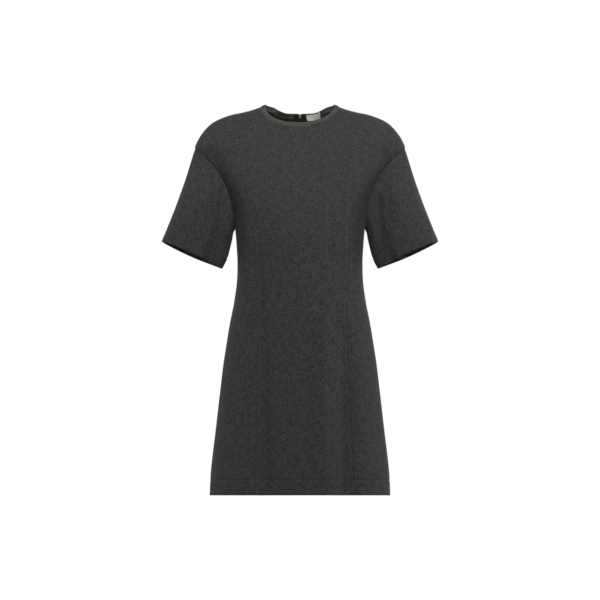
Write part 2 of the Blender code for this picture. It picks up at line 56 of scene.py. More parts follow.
CAMERA_PLACE = (0.0, -5.0, -0.900)      # level with the hem, so the hem looks straight
CAMERA_AIM = (0.0, 0.0, -0.45393)
CAMERA_LENS = 131.414
FLOOR_HEIGHT = -1.46        # the dress is as high above it as when it is worn
FLOOR_SIZE = 60.0
FLOOR_GLOW = 0.95           # makes the floor as white as what is behind it
SOFT_LIGHT = 0.15           # light from all round, where plain white is 1
WHITE = (1.0, 1.0, 1.0, 1.0)
LAMPS = (                   # name, place, aim, width and height, watts, beam in degrees
    ("front lamp", (0.55, -4.0, 2.8), (0.0, 0.0, -0.50), (1.5, 1.2), 159.0, 180.0),
    ("low front lamp", (0.2, -4.2, -0.8), (0.03, 0.0, 0.02), (0.5, 0.3), 0.32, 16.0),
    ("right lamp", (2.2, 0.5, 0.1), (0.15, 0.0, -0.50), (0.6, 2.2), 21.0, 180.0),
    ("left lamp", (-2.2, 0.5, 0.1), (-0.15, 0.0, -0.50), (0.6, 2.2), 16.0, 180.0),
    ("back lamp", (0.3, 3.6, 1.8), (0.0, 0.0, -0.50), (2.0, 1.6), 70.0, 180.0),
)


def put(name, data):
    """A new object in the scene."""
    thing = bpy.data.objects.new(name, data)
    scene.collection.objects.link(thing)
    return thing


def aim(thing, place, target):
    thing.location = place
    thing.rotation_euler = (Vector(target) - Vector(place)).to_track_quat('-Z', 'Y').to_euler()


def node(tree, kind, **values):
    """A shader node, with its properties and the numbers on its sockets."""
    made = tree.nodes.new(kind)
    for name, value in values.items():
        if name in made.inputs:
            made.inputs[name].default_value = value
        else:
            setattr(made, name, value)
    return made


def new_finish(name, values):
    """A material, its nodes and its shader, with the values set on the shader's own sockets."""
    finish = bpy.data.materials.new(name)
    finish.use_nodes = True
    shader = finish.node_tree.nodes["Principled BSDF"]
    for socket, value in values.items():
        shader.inputs[socket].default_value = value
    return finish, finish.node_tree, shader


camera = put("camera", bpy.data.cameras.new("camera"))
camera.data.sensor_width = 36.0
camera.data.lens = CAMERA_LENS
camera.data.clip_end = 100.0
aim(camera, CAMERA_PLACE, CAMERA_AIM)
scene.camera = camera

world = bpy.data.worlds.new("white studio")
scene.world = world
world.use_nodes = True
sky = world.node_tree
shown = sky.nodes["Background"]
shown.inputs["Color"].default_value = WHITE
soft = node(sky, 'ShaderNodeBackground', Color=WHITE, Strength=SOFT_LIGHT)
choice = node(sky, 'ShaderNodeMixShader')
sky.links.new(node(sky, 'ShaderNodeLightPath').outputs["Is Camera Ray"], choice.inputs["Fac"])
sky.links.new(soft.outputs[0], choice.inputs[1])
sky.links.new(shown.outputs[0], choice.inputs[2])
sky.links.new(choice.outputs[0], sky.nodes["World Output"].inputs["Surface"])

for name, place, target, lamp_size, watts, beam in LAMPS:
    lamp = bpy.data.lights.new(name, 'AREA')
    lamp.shape = 'RECTANGLE'
    lamp.size, lamp.size_y = lamp_size
    lamp.energy = watts
    lamp.spread = math.radians(beam)
    aim(put(name, lamp), place, target)

bpy.ops.mesh.primitive_plane_add(size=FLOOR_SIZE, location=(0.0, 0.0, FLOOR_HEIGHT))
floor = bpy.context.object
floor.name = "floor"
floor.data.materials.append(new_finish("white floor", {
    "Base Color": (0.50, 0.50, 0.50, 1.0), "Roughness": 0.9,
    "Emission Color": WHITE, "Emission Strength": FLOOR_GLOW})[0])
floor.visible_diffuse = False           # it doesn't brighten the dress from below


# ---------------------------------------- front
# The front is cut in one from thick double knit and shaped by two long darts, sewn from the bust
# to the hem and pressed flat. Its hem is turned up once and blind-stitched.

MM = 0.001
CLOTH = 1.6                 # thickness of the knit
SEAM_PRESS = 0.13           # part of its thickness that a sewn edge is pressed into the next one
SEAM_DIP = 0.35             # how deep the cloth rolls down into a seam, and how far from it
SEAM_ROLL = 1.7
TOP_DIP = 1.1               # the same at a panel's upper edge, below the neck band
HEM = 34.0                  # depth of the turned-up hem
LENGTH = 900.0
TIP = (242.0, 105.0)        # x and drop of the shoulder seam's outer end
UNDERARM = (149.0, 291.0)   # x and drop of the side seam's upper end
NECK_HALF = 91.5
NECK_SIDE_DROP = 7.5
NECK_DROP = {"front": 65.5, "back": 19.5}
SEAM_ARCH = 1.75            # roundness of the front neck seam, more is squarer
ARCH_SKEW = 0.15            # squarer by this on the wearer's right, rounder on the left
BACK_FLAT = (0.35, 0.92)    # parts of the half-width between which the back neck rises
ARMHOLE_BOW = 24.0          # how far the armhole bows towards the body
DART_COLUMN = 5 / 11        # part of a half panel that lies between the centre and the dart
HALF_PANEL = 240.0          # about how wide half a panel is
FACING = {"front": -1.0, "back": 1.0}       # outward along y
STEP = 4.3                  # about how far apart the points of the cloth are
SKIRT_STEP = 4.9            # the same for the rows below the underarm
BESIDE_SEAM = (0.8, 1.8, 3.2)       # closer ones beside a seam or a line of stitches
EVEN_FROM = 6.5             # distance from the top edge at which the evenly spaced rows begin
UPPER_ROWS = 50             # how many of those there are down to the underarm
RUN_SAMPLES = 401           # samples of a line whose length is measured

DART_SEAM = (0.0, 1.0, -2.1)        # the dart's seam: distance from its line, width and height
DART_FOLD = (2.4, 1.8, 1.8)         # its pressed fold, towards the centre
DART_HIGHLIGHT = (1.9, 1.5)    # where a painted highlight lightens that fold: distance and width
DART_TOP = (12.0, 30.0)     # lengths above and below a dart's top end over which it comes in
DART_NOTCH = (3.0, 8.0, 1.3)        # where a dart draws up the hem: width, height, and how far
STITCH_GROOVE = (1.5, 0.80)         # width and depth of the blind stitches' line
TURNED_EDGE = 2.0           # length over which the turned-up cloth's edge steps off


def table(columns, rows):
    """A table as a column name to its values. The first column is the one it is read by."""
    return dict(zip(columns.split(), np.array(rows, float).T))


BODY = table("drop half_width front back square", (
    (NECK_SIDE_DROP, NECK_HALF, 24.0, 36.0, 2.20),
    (15.2, 114.0, 32.0, 63.0, 2.20),
    (21.5, 138.0, 38.0, 72.5, 2.20),
    (26.2, 160.0, 42.5, 77.5, 2.25),
    (33.4, 180.5, 48.5, 82.5, 2.25),
    (42.5, 199.0, 56.0, 87.5, 2.30),
    (55.0, 214.0, 66.0, 92.5, 2.30),
    (71.0, 227.0, 77.5, 97.0, 2.30),
    (87.0, 236.5, 86.0, 100.0, 2.30),
    (TIP[1], TIP[0], 93.5, 103.0, 2.30),
    (128.0, 227.0, 101.5, 106.0, 2.30),
    (158.0, 208.0, 110.0, 109.0, 2.30),
    (188.0, 188.0, 117.0, 111.5, 2.35),
    (226.0, 167.0, 123.0, 113.5, 2.35),
    (262.0, 154.0, 125.0, 113.5, 2.35),
    (UNDERARM[1], UNDERARM[0], 124.5, 112.0, 2.35),
    (330, 145.5, 122.0, 108.0, 2.35),
    (370, 143.5, 118.5, 104.0, 2.30),
    (415, 145.0, 115.5, 101.0, 2.25),
    (462, 151.5, 114.5, 101.0, 2.20),
    (508, 160.5, 115.5, 104.0, 2.15),
    (554, 168.0, 118.0, 108.0, 2.10),
    (604, 175.5, 121.5, 112.5, 2.10),
    (669, 183.0, 126.0, 118.0, 2.10),
    (749, 192.0, 131.0, 124.0, 2.10),
    (841, 202.5, 136.0, 130.0, 2.10),
    (LENGTH, 205.5, 138.0, 132.0, 2.10),
))

DARTS = table("drop right left", (
    (266, 105.5, 107.5), (349, 98.0, 106.5), (427, 95.5, 104.0), (505, 93.5, 102.5), (578, 93.5, 104.5),
    (690, 94.0, 109.0), (782, 96.0, 114.0), (877, 98.5, 119.5), (900, 99.0, 122.0),
))

# Folds. Each runs from a top to a bottom place, bowed sideways by its bend between them. x is the
# wearer's right when negative, and height is outward, so a trough's is negative
FOLD = "x_top top x_bottom bottom bend width height"
FOLDS = {"front": table(FOLD, (
    (-84, 300, -79, 1060, 0, 24, -15.0),
    (44, 330, 50, 1060, 0, 26, 8.0),
    (36, 300, 44, 1060, 0, 60, 6.0),
    (98, 480, 106, 1060, 0, 18, -11.0),
    (-20, 560, -28, 960, 0, 34, 3.0),
    (-113, 250, -137, 470, 0, 11, 4.5),
    (-138, 190, -126, 410, 0, 12, -5.0),
    (-124, 236, -74, 196, 3, 9, -1.2),
    (128, 240, 82, 190, -4, 10, -1.4),
    (-130, 262, -98, 334, 4, 8, -1.6),
    (132, 258, 116, 346, -5, 8, -1.3),
    (-120, 372, -58, 398, 3, 8, -0.9),
    (122, 382, 64, 402, 3, 9, -1.0),
    (-58, 112, -98, 218, -6, 16, 1.0),
    (62, 124, 100, 216, 5, 17, 1.1),
    (-148, 532, -158, 960, 5, 15, -2.6),
    (146, 566, 160, 960, -4, 15, 2.4),
    (14, 640, 12, 960, 6, 17, -1.8),
    (-196, 98, -164, 232, 4, 7, -1.2),
    (198, 104, 164, 226, -3, 7, -1.0),
))}
# The hollow that runs from each shoulder down the armhole into the armpit
HOLLOW = table("drop x depth width", (
    (40, 198, 0.0, 17), (75, 199, 6.0, 20), (128, 191, 14.0, 24), (197, 176, 20.0, 25), (253, 160, 19.0, 19),
    (291, 149, 10.5, 12), (335, 145, 0.0, 9),
))
FOLD_FADE = 0.3             # part of a fold's length over which it comes and goes
FOLDS_END, HOLLOW_END = 8, 24       # powers that fade both at the side seam, more is closer to it

# The cloth is nowhere quite smooth: slow waves, by their lengths across and down
WAVES = (
    (97.0, 181.0, 0.4, 0.45),
    (-61.0, 143.0, 2.1, 0.30),
    (43.0, -88.0, 4.0, 0.16),
)


def smooth(low, high, value):
    """0 below low, 1 above high, and an S-curve between."""
    t = np.clip((value - low) / (high - low), 0.0, 1.0)
    return t * t * (3.0 - 2.0 * t)


def bell(distance, width):
    return np.exp(-(distance / width) ** 2)


def read(rows, column, key):
    """Values of a column at keys between rows, on a smooth curve through the rows."""
    keys, values = next(iter(rows.values())), rows[column]
    before = np.maximum(np.arange(len(keys)) - 1, 0)
    after = np.minimum(np.arange(len(keys)) + 1, len(keys) - 1)
    slope = (values[after] - values[before]) / (keys[after] - keys[before])
    i = np.clip(np.searchsorted(keys, key, side="right") - 1, 0, len(keys) - 2)
    span = keys[i + 1] - keys[i]
    t = np.clip((key - keys[i]) / span, 0.0, 1.0)
    return (values[i] + (values[i + 1] - values[i]) * t * t * (3.0 - 2.0 * t)
            + span * t * (1.0 - t) * (slope[i] * (1.0 - t) - slope[i + 1] * t))


def arch(across, square):
    """Height of a rounded arch of half-width 1: 1 at the centre, 0 at the side."""
    return np.maximum(1.0 - np.clip(across, 0.0, 1.0) ** square, 0.0) ** (1.0 / square)


def neck_fall(face, side, across, square):
    """How low the neck is at a share of its half-width: 1 at the centre, 0 at the side."""
    if face == "front":
        return arch(across, 2.0 + (square - side * ARCH_SKEW - 2.0) * smooth(0.0, 0.4, across))
    return 1.0 - smooth(*BACK_FLAT, across)


def neck_seam(face, side, turn):
    """x and drop where the neck band is sewn on: turn 0 at the centre, 1 at the shoulder seam."""
    across = np.sin(turn * math.pi / 2)
    fall = neck_fall(face, side, across, SEAM_ARCH)
    return NECK_HALF * across, NECK_SIDE_DROP + (NECK_DROP[face] - NECK_SIDE_DROP) * fall


def shoulder_seam(along):
    """x and drop on the shoulder seam, 0 at the neck and 1 at the tip, by its length."""
    drop = BODY["drop"][BODY["drop"] <= TIP[1]]
    x = BODY["half_width"][:len(drop)]
    length = np.concatenate([[0.0], np.cumsum(np.hypot(np.diff(x), np.diff(drop)))])
    here = read({"length": length, "drop": drop}, "drop", along * length[-1])
    return read(BODY, "half_width", here), here


def armhole(outer, inner, bow, low):
    """x and drop on a line like the armhole's: low 0 at its outer end, 1 at its inner one."""
    lean = np.arctan2(outer[0] - inner[0], inner[1] - outer[1])
    bow = bow * 4.0 * low * (1.0 - low)
    return (outer[0] + (inner[0] - outer[0]) * low - bow * np.cos(lean),
            outer[1] + (inner[1] - outer[1]) * low - bow * np.sin(lean))


def top_edge(face, side, across):
    """x and drop of a body panel's upper edge: the neck seam, then the shoulder seam."""
    neck = neck_seam(face, side, np.minimum(across / DART_COLUMN, 1.0))
    shoulder = shoulder_seam(np.clip((across - DART_COLUMN) / (1.0 - DART_COLUMN), 0.0, 1.0))
    on_neck = across <= DART_COLUMN
    return np.where(on_neck, neck[0], shoulder[0]), np.where(on_neck, neck[1], shoulder[1])


def fold_height(folds, x, drop):
    """Outward height of a piece's folds and waves at places on it."""
    height = sum(rise * np.sin(2 * math.pi * (x / across + drop / down) + start)
                 for across, down, start, rise in WAVES)
    for x_top, top, x_bottom, bottom, bend, width, rise in zip(*folds.values()):
        reach = Vector((x_bottom - x_top, bottom - top))
        along = ((x - x_top) * reach.x + (drop - top) * reach.y) / reach.length_squared
        off = ((x - x_top) * reach.y - (drop - top) * reach.x) / reach.length
        off = off - bend * np.sin(math.pi * np.clip(along, 0.0, 1.0))
        fade = smooth(0.0, FOLD_FADE, along) * smooth(0.0, FOLD_FADE, 1.0 - along)
        height = height + rise * fade * bell(off, width)
    return height


def on_body(face, x, drop):
    """Points of the body that are seen from the front at x and drop."""
    share = np.minimum(np.abs(x) / read(BODY, "half_width", drop), 1.0)
    depth = read(BODY, face, drop) * arch(share, read(BODY, "square", drop))
    depth = depth + (1.0 - share ** FOLDS_END) * fold_height(FOLDS[face], x, drop)
    hollow = bell(np.abs(x) - read(HOLLOW, "x", drop), read(HOLLOW, "width", drop))
    depth = depth - (1.0 - share ** HOLLOW_END) * read(HOLLOW, "depth", drop) * hollow
    return np.stack([x, FACING[face] * depth, drop], axis=-1)


def level_x(side, across, drop):
    """Distance from the centre line on a level section. The dart keeps its share of the columns."""
    half, square = read(BODY, "half_width", drop), read(BODY, "square", drop)
    dart = read(DARTS, "left" if side > 0 else "right", np.maximum(drop, DARTS["drop"][0]))
    dart_angle = np.arcsin((dart / half) ** (square / 2.0))
    inner = dart_angle * across / DART_COLUMN
    outer = dart_angle + (math.pi / 2 - dart_angle) * (across - DART_COLUMN) / (1.0 - DART_COLUMN)
    return half * np.sin(np.where(across <= DART_COLUMN, inner, outer)) ** (2.0 / square)


def panel_place(face, side, across, down):
    """Distance from the centre line, and drop, of places on a body panel.

    across is 0 at the centre line and 1 at the armhole or side seam. down is 0 at the top edge,
    1 at the underarm level and 2 at the hem.
    """
    across, down = np.broadcast_arrays(across, down)
    low = np.where(down < 1.0, (1.0 - np.cos(math.pi * np.minimum(down, 1.0))) / 2, 1.0)
    top_x, top_drop = top_edge(face, side, across)
    arm_x, arm_drop = armhole(TIP, UNDERARM, ARMHOLE_BOW, low)
    edge = across ** 3          # how much a column shares in the armhole's bow
    x = top_x + (level_x(side, across, UNDERARM[1]) - top_x) * low
    x = x + edge * (arm_x - TIP[0] - (UNDERARM[0] - TIP[0]) * low)
    drop = top_drop + (UNDERARM[1] - top_drop) * low
    drop = drop + edge * (arm_drop - TIP[1] - (UNDERARM[1] - TIP[1]) * low)
    skirt_drop = UNDERARM[1] + np.maximum(down - 1.0, 0.0) * (LENGTH - UNDERARM[1])
    return (np.where(down > 1.0, level_x(side, across, skirt_drop), x),
            np.where(down > 1.0, skirt_drop, drop))


def spread(start, end, fine_at, step=STEP):
    """Distances from start to end about a step apart, with closer ones beside each of fine_at."""
    values = np.linspace(start, end, int(round((end - start) / step)) + 1)
    for centre in fine_at:
        values = values[np.abs(values - centre) > BESIDE_SEAM[-1] + step / 3]
        values = np.concatenate([values, [centre], *([centre - by, centre + by] for by in BESIDE_SEAM)])
    return np.unique(values[(values >= start) & (values <= end)])


def run(points, axis):
    """Distance of each point of a grid from its first row or column, along the cloth."""
    steps = np.cumsum(np.linalg.norm(np.diff(points, axis=axis), axis=-1), axis=axis)
    return np.concatenate([np.zeros_like(steps[:1] if axis == 0 else steps[:, :1]), steps], axis=axis)


def run_down(surface, columns, marks):
    """The down values, from 0 to 1, of a surface's rows: close ones beside its upper seam, then
    those at the distances that marks() gives for a column of its length."""
    downs = np.linspace(0.0, 1.0, RUN_SAMPLES)
    lengths = run(surface(columns[None, :], downs[:, None]), 0)
    return np.stack([np.interp([0.0, *BESIDE_SEAM, *marks(length[-1])], length, downs)
                     for length in lengths.T], axis=1)


def panel_downs(face, side, columns):
    """Rows of a body panel: even along the cloth down to the underarm, then level."""
    upper = run_down(lambda across, down: on_body(face, *panel_place(face, side, across, down)),
                     columns, lambda length: np.linspace(EVEN_FROM, length, UPPER_ROWS))
    drops = spread(UNDERARM[1] + STEP, LENGTH, (LENGTH - HEM, LENGTH), SKIRT_STEP)
    skirt = 1.0 + (drops - UNDERARM[1]) / (LENGTH - UNDERARM[1])
    return np.concatenate([upper, np.repeat(skirt[:, None], len(columns), axis=1)])


def unit(steps):
    return steps / np.maximum(np.linalg.norm(steps, axis=-1, keepdims=True), 1e-9)


def outward(points, wrap=False):
    """Unit directions square to a grid of points. They point to the side from which its rows
    run down and its columns run to the right. With wrap the last column joins the first."""
    right = np.gradient(points, axis=1)
    if wrap:
        right = np.roll(points, -1, axis=1) - np.roll(points, 1, axis=1)
    # The other way round than usual, as drop runs down
    return unit(np.cross(right, np.gradient(points, axis=0)))


RIM = ((0.16, 0.24), (0.50, 0.36), (0.84, 0.24))    # a cloth edge's roundness: depth and bulge
EASE = 6.0                  # distance over which the points make room for an edge's roundness


def sew(points, thick, edges="left right top", wrap=False, top_dip=SEAM_DIP):
    """Makes room for the round rims at a grid's sewn edges, and rolls the cloth down into those
    seams. thick is as for cloth()."""
    back = np.broadcast_to(thick, len(points))[:, None] * (RIM[1][1] - SEAM_PRESS)
    down, right = (unit(step) for step in np.gradient(points, axis=(0, 1)))
    normal = outward(points, wrap)
    across, along = run(points, 1), run(points, 0)
    moved = points.copy()
    for edge, away, step, dip in (("left", across, right, SEAM_DIP), ("top", along, down, top_dip),
                                  ("right", across[:, -1:] - across, -right, SEAM_DIP)):
        if edge in edges:
            moved += step * (back * np.exp(-away / EASE))[..., None]
            moved -= normal * (dip * bell(away, SEAM_ROLL))[..., None]
    return moved


def new_piece(name, verts, faces, finish):
    """A piece from groups of points, in millimetres with their drop, and groups of faces."""
    mesh = bpy.data.meshes.new(name)
    mesh.from_pydata((np.concatenate(verts) * (MM, MM, -MM)).tolist(), [], np.concatenate(faces).tolist())
    mesh.materials.append(finish)
    return put(name, mesh)


def cloth(name, points, thick, finish, wrap=False):
    """A closed thin wall of cloth with soft round edges.

    points is a grid of outer points, rows downward and columns to the right as seen from outside.
    thick is one thickness or one for each row. With wrap the last column joins the first.
    """
    rows, columns = points.shape[:2]
    thick = np.broadcast_to(np.asarray(thick, float).reshape(-1, 1, 1), (rows, columns, 1))
    normal = outward(points, wrap)
    across = run(points, 1)
    grain = np.stack([across - across[:, [columns // 2]], run(points, 0)], axis=-1)

    # The cloth's border runs round the grid. Each of its layers is deeper, and bulges outward
    down, right = (unit(step) for step in np.gradient(points, axis=(0, 1)))
    ring = [(0, c) for c in range(columns)]
    foot = [(rows - 1, c) for c in range(columns)][::-1]
    if wrap:
        rings = [ring, foot]
    else:
        rings = [ring[:-1] + [(r, columns - 1) for r in range(rows - 1)]
                 + foot[:-1] + [(r, 0) for r in range(rows - 1, 0, -1)]]
    push = np.zeros_like(points)
    push[0] -= down[0]
    push[-1] += down[-1]
    if not wrap:
        push[:, 0] -= right[:, 0]
        push[:, -1] += right[:, -1]

    outer = np.arange(rows * columns).reshape(rows, columns)
    if wrap:
        outer = np.concatenate([outer, outer[:, :1]], axis=1)
    inner = outer + rows * columns
    faces = np.stack([outer[:-1, :-1], outer[1:, :-1], outer[1:, 1:], outer[:-1, 1:]], -1).reshape(-1, 4)
    faces = [faces, faces[:, [0, 3, 2, 1]] + rows * columns]
    verts = [points.reshape(-1, 3), (points - normal * thick).reshape(-1, 3)]
    grains = [grain.reshape(-1, 2)] * 2
    count = 2 * rows * columns
    for border in rings:
        at = tuple(np.array(border).T)
        loops = [outer[at]]
        for depth, bulge in RIM:
            verts.append(points[at] + thick[at] * (push[at] * bulge - normal[at] * depth))
            grains.append(grain[at])
            loops.append(np.arange(count, count + len(border)))
            count += len(border)
        loops.append(inner[at])
        for upper, lower in zip(loops, loops[1:]):
            faces.append(np.stack([upper, np.roll(upper, -1), np.roll(lower, -1), lower], -1))

    grains = np.concatenate(grains)[np.concatenate(faces)]
    if wrap:
        girth = grains[..., 0].max() - grains[..., 0].min()
        torn = np.ptp(grains[..., 0], axis=1, keepdims=True) > girth / 2
        grains[..., 0] += np.where(torn & (grains[..., 0] < 0.0), girth, 0.0)
    piece = new_piece(name, verts, faces, finish)
    piece.data.uv_layers.new(name="grain").uv.foreach_set("vector", (grains * MM).reshape(-1))
    piece.data.shade_smooth()
    return piece


def turned_up(points, edge, deep, wrap=False):
    """Sinks the line of blind stitches above a turned-up edge, makes room for the fold's round
    rim, and gives each row's thickness. edge is each point's distance from the fold."""
    width, groove = STITCH_GROOVE
    worked = points - outward(points, wrap) * (groove * bell(edge - deep, width))[..., None]
    worked -= unit(np.gradient(points, axis=0)) * (2 * CLOTH * RIM[1][1] * np.exp(-edge / EASE))[..., None]
    return worked, CLOTH * (1.0 + smooth(deep + TURNED_EDGE, deep, edge.mean(axis=1)))


def on_grain(tree, texture, stretch=(1.0, 1.0)):
    """Lays a texture in the cloth's own coordinates, metres across and along its grain."""
    place = node(tree, 'ShaderNodeUVMap', uv_map="grain")
    scaled = node(tree, 'ShaderNodeMapping', Scale=(*stretch, 1.0))
    tree.links.new(place.outputs["UV"], scaled.inputs["Vector"])
    tree.links.new(scaled.outputs["Vector"], texture.inputs["Vector"])
    return texture.outputs["Fac"]


def mottle(tree, size, detail, roughness=0.5, stretch=(1.0, 1.0)):
    """Uneven flecks of about a size, in metres."""
    return on_grain(tree, node(tree, 'ShaderNodeTexNoise', noise_dimensions='2D', Scale=1.0 / size,
                               Detail=detail, Roughness=roughness), stretch)


def bands(tree, way, apart, waver, detail):
    """Soft bands across 'X' or 'Y', a distance apart in metres, which waver."""
    return on_grain(tree, node(tree, 'ShaderNodeTexWave', wave_type='BANDS', bands_direction=way,
                               Scale=BAND_SCALE / apart, Distortion=waver, Detail=detail))


def weigh(tree, one, weight, other):
    """one times a weight, plus other."""
    made = node(tree, 'ShaderNodeMath', operation='MULTIPLY_ADD')
    made.inputs[1].default_value = weight
    tree.links.new(one, made.inputs[0])
    tree.links.new(other, made.inputs[2])
    return made.outputs["Value"]


def dye(tree, shader, value, stops):
    """Colours a finish by a value: two stops, each a place between 0 and 1 and its colour."""
    ramp = node(tree, 'ShaderNodeValToRGB')
    for stop, (place, colour) in zip(ramp.color_ramp.elements, stops):
        stop.position = place
        stop.color = (*colour, 1.0)
    tree.links.new(value, ramp.inputs["Fac"])
    tree.links.new(ramp.outputs["Color"], shader.inputs["Base Color"])


def emboss(tree, shader, height, strength, depth):
    """Gives a finish a fine relief, its depth in metres."""
    bump = node(tree, 'ShaderNodeBump', Strength=strength, Distance=depth)
    tree.links.new(height, bump.inputs["Height"])
    tree.links.new(bump.outputs["Normal"], shader.inputs["Normal"])


BAND_SCALE = 0.314          # a wave texture's scale whose bands are a metre apart
CLOUD_WEIGHT = 0.22         # how much larger clouds of fibre count beside the flecks
HIGHLIGHT_LIGHTER = 0.10      # how much lighter the painted highlight makes the knit along a dart's fold
WALE_WEIGHT = 0.12          # how much the rows of stitches count in the relief


def heather(name, dark, light, fleck, wale, nap, relief):
    """Knit of mixed dark and light fibres, slightly hairy. fleck is the size of its flecks and
    wale the distance between its rows of stitches, both in metres."""
    finish, tree, shader = new_finish(name, {
        "Roughness": 0.95, "Specular IOR Level": 0.15, "Sheen Weight": nap, "Sheen Roughness": 0.40})
    flecks = mottle(tree, fleck, detail=2.5, roughness=0.65, stretch=(0.75, 1.0))
    clouds = mottle(tree, 5.0 * fleck, detail=2.0, stretch=(0.8, 1.0))
    painted_highlight = node(tree, 'ShaderNodeAttribute', attribute_name="painted_highlight").outputs["Fac"]
    # Painted highlight: the knit is lighter along each dart's fold, where the fold catches the light
    mixed = weigh(tree, painted_highlight, HIGHLIGHT_LIGHTER, weigh(tree, clouds, CLOUD_WEIGHT, flecks))
    dye(tree, shader, mixed, ((0.47, dark), (0.76, light)))
    stitches = bands(tree, 'X', wale, waver=1.5, detail=1.0)
    emboss(tree, shader, weigh(tree, stitches, WALE_WEIGHT, flecks), relief, 0.0005)
    return finish


def both(right, left):
    """The front's two halves in one grid, with one column at the centre."""
    return np.concatenate([right[:, :0:-1], left], axis=1)


knit = heather("heather knit", dark=(0.020, 0.0203, 0.0198), light=(0.078, 0.078, 0.0735), fleck=0.0022,
               wale=0.0011, nap=0.05, relief=0.35)

half_columns = spread(0.0, HALF_PANEL, (HALF_PANEL * DART_COLUMN, HALF_PANEL)) / HALF_PANEL
halves, highlight_halves = [], []
for side in (-1.0, 1.0):
    downs = panel_downs("front", side, half_columns)
    x, drop = panel_place("front", side, half_columns, downs)
    half = on_body("front", side * x, drop)
    off_dart = (half_columns - DART_COLUMN) * HALF_PANEL
    sewn = smooth(DARTS["drop"][0] - DART_TOP[0], DARTS["drop"][0] + DART_TOP[1], drop)
    for off, width, height in (DART_SEAM, DART_FOLD):
        half[..., 1] -= height * bell(off_dart + off, width) * sewn
    width, height, rise = DART_NOTCH
    half[..., 2] -= rise * bell(off_dart, width) * smooth(LENGTH - height, LENGTH, drop)
    halves.append(half)
    # Painted highlight along the fold beside each dart
    highlight_halves.append(sewn * bell(off_dart + DART_HIGHLIGHT[0], DART_HIGHLIGHT[1]))
points, thick = turned_up(both(*halves), LENGTH - both(drop, drop), HEM)
front = cloth("front_cloth", sew(points, thick, top_dip=TOP_DIP), thick, knit)

# The knit reads its painted highlight along the darts from its points, of which the outer ones come first
painted_highlight = np.zeros(len(front.data.vertices))
painted_highlight[:points[..., 0].size] = both(*highlight_halves).reshape(-1)
front.data.attributes.new("painted_highlight", 'FLOAT', 'POINT').data.foreach_set("value", painted_highlight)
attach(front, "dress")
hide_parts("front")


# ---------------------------------------- backs
# The back is two panels of the same knit, turned up like the front. They are sewn to each other
# below the centre-back zip, and to the front at the shoulders and the sides.

ZIP_GAP = 3.3               # from the centre line to a panel's edge, beside the zip
ZIP_CLOSES = (0.655, 0.70)  # down values over which the panels come together below the zip
GAP_EASE = 40.0             # distance over which a panel's points make room for the gap
FOLDS["back"] = table(FOLD, (
    (-62, 400, -74, 960, 0, 24, -5.0),
    (22, 470, 18, 960, 0, 34, 4.0),
    (84, 430, 98, 960, 0, 22, -5.5),
    (-36, 330, -96, 396, 6, 12, -1.8),
    (40, 342, 104, 388, -5, 13, -2.0),
    (-24, 372, -112, 424, 5, 11, 1.4),
    (28, 376, 118, 430, -6, 12, 1.3),
    (-128, 258, -92, 352, 5, 10, -1.8),
    (130, 264, 100, 342, -4, 10, -1.6),
    (-104, 92, -132, 236, -5, 15, -1.5),
    (110, 84, 134, 228, 6, 16, -1.3),
    (-120, 560, -136, 960, 5, 17, 2.8),
    (142, 600, 152, 960, -5, 15, -2.4),
    (-26, 590, -30, 960, 4, 15, -1.7),
    (60, 66, 26, 128, 3, 9, -0.8),
    (-64, 70, -28, 136, -3, 9, -0.7),
))

back_columns = spread(0.0, HALF_PANEL, (0.0, HALF_PANEL * DART_COLUMN, HALF_PANEL)) / HALF_PANEL
for name, side in (("back_left", 1.0), ("back_right", -1.0)):
    downs = panel_downs("back", side, back_columns)
    x, drop = panel_place("back", side, back_columns, downs)
    gap = ZIP_GAP * (1.0 - smooth(*ZIP_CLOSES, downs))
    x = x + gap * np.maximum(1.0 - x / GAP_EASE, 0.0) ** 2
    points = on_body("back", side * x, drop)
    if side > 0:
        points, drop = points[:, ::-1], drop[:, ::-1]
    points, thick = turned_up(points, LENGTH - drop, HEM)
    back = cloth(name + "_cloth", sew(points, thick, top_dip=TOP_DIP), thick, knit)
    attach(back, "dress")
    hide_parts(name)


# ---------------------------------------- sleeves
# Each sleeve is one piece of the knit, closed by a seam under the arm and sewn into the armhole.
# It hangs wide of the arm, and its cuff is turned up and blind-stitched.

CUFF = 28.0                 # depth of the turned-up cuff
SLEEVE_EVEN = (6.0, 46.0)   # distances from the armhole and the cuff's edge of the even rows
SLEEVE_ROWS = 46
SLEEVE_TURNS = 53           # points from a sleeve's outer edge to its inner one
SEAM_BLEND = 0.3            # part of the sleeve over which the armhole's own depth fades
FOLDS_FROM = (25.0, 20.0)   # distances from the underarm seam and the armhole to full folds
SLEEVE = table("along outer_x outer_drop inner_x inner_drop front back bow", (
    (0.00, TIP[0], TIP[1], UNDERARM[0], UNDERARM[1], 56, 56, 1.0),
    (0.15, 252.0, 139.0, 153.0, 299.0, 62, 61, 0.6),
    (0.35, 267.0, 183.5, 155.5, 313.0, 63, 62, 0.25),
    (0.60, 284.5, 233.0, 161.0, 337.0, 61, 61, 0.05),
    (0.80, 300.5, 275.0, 167.5, 360.0, 59, 59, 0.0),
    (1.00, 318.0, 319.0, 178.5, 382.0, 57, 57, 0.0),
))
# Folds by distance round the sleeve from its outer edge, the front's positive, and along it
SLEEVE_FOLDS = table(FOLD, (
    (96, -20, 118, 118, 6, 13, -3.0),
    (60, 18, 40, 262, -8, 20, 1.8),
    (132, 30, 96, 214, 8, 14, -2.0),
    (158, 8, 128, 150, -5, 10, 1.6),
    (-66, -16, -104, 150, 7, 16, -2.8),
    (-34, 40, -58, 270, -7, 22, 1.6),
    (-140, 12, -112, 190, 6, 12, -2.2),
    (10, 90, 18, 280, 5, 17, -1.3),
    (152, -60, 168, 330, 4, 32, -14.0),
    (-152, -60, -168, 330, -4, 32, -9.0),
))


